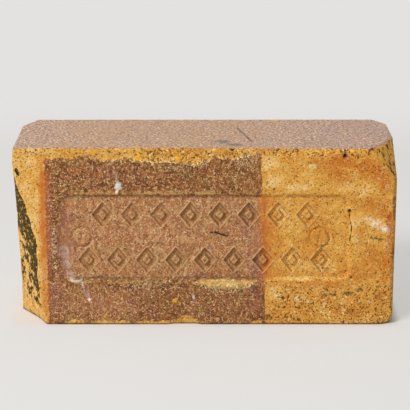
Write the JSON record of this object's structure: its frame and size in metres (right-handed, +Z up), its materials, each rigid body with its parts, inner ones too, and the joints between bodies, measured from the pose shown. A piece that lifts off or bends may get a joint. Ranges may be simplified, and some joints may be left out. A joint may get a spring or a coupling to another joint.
{
  "type": "salt-glazed brick",
  "caption": "Solid pressed fireclay brick, part brown salt glaze and part buff, with a shallow stamp panel in one bed face and broken corners, laid in masonry.",
  "frame": {"origin": "on the floor, under the middle of the brick, which stands on one long side", "axes": "+X along the length, +Y through the thickness from the stamped bed face to the plain one, +Z up"},
  "size_m": [0.229, 0.076, 0.1105],
  "materials": {
    "salt_glazed_fireclay": "fired fireclay, brown salt glaze in bands, buff where it was masked"
  },
  "bodies": {
    "root": {"brick": "salt_glazed_fireclay"}
  },
  "joints": []
}
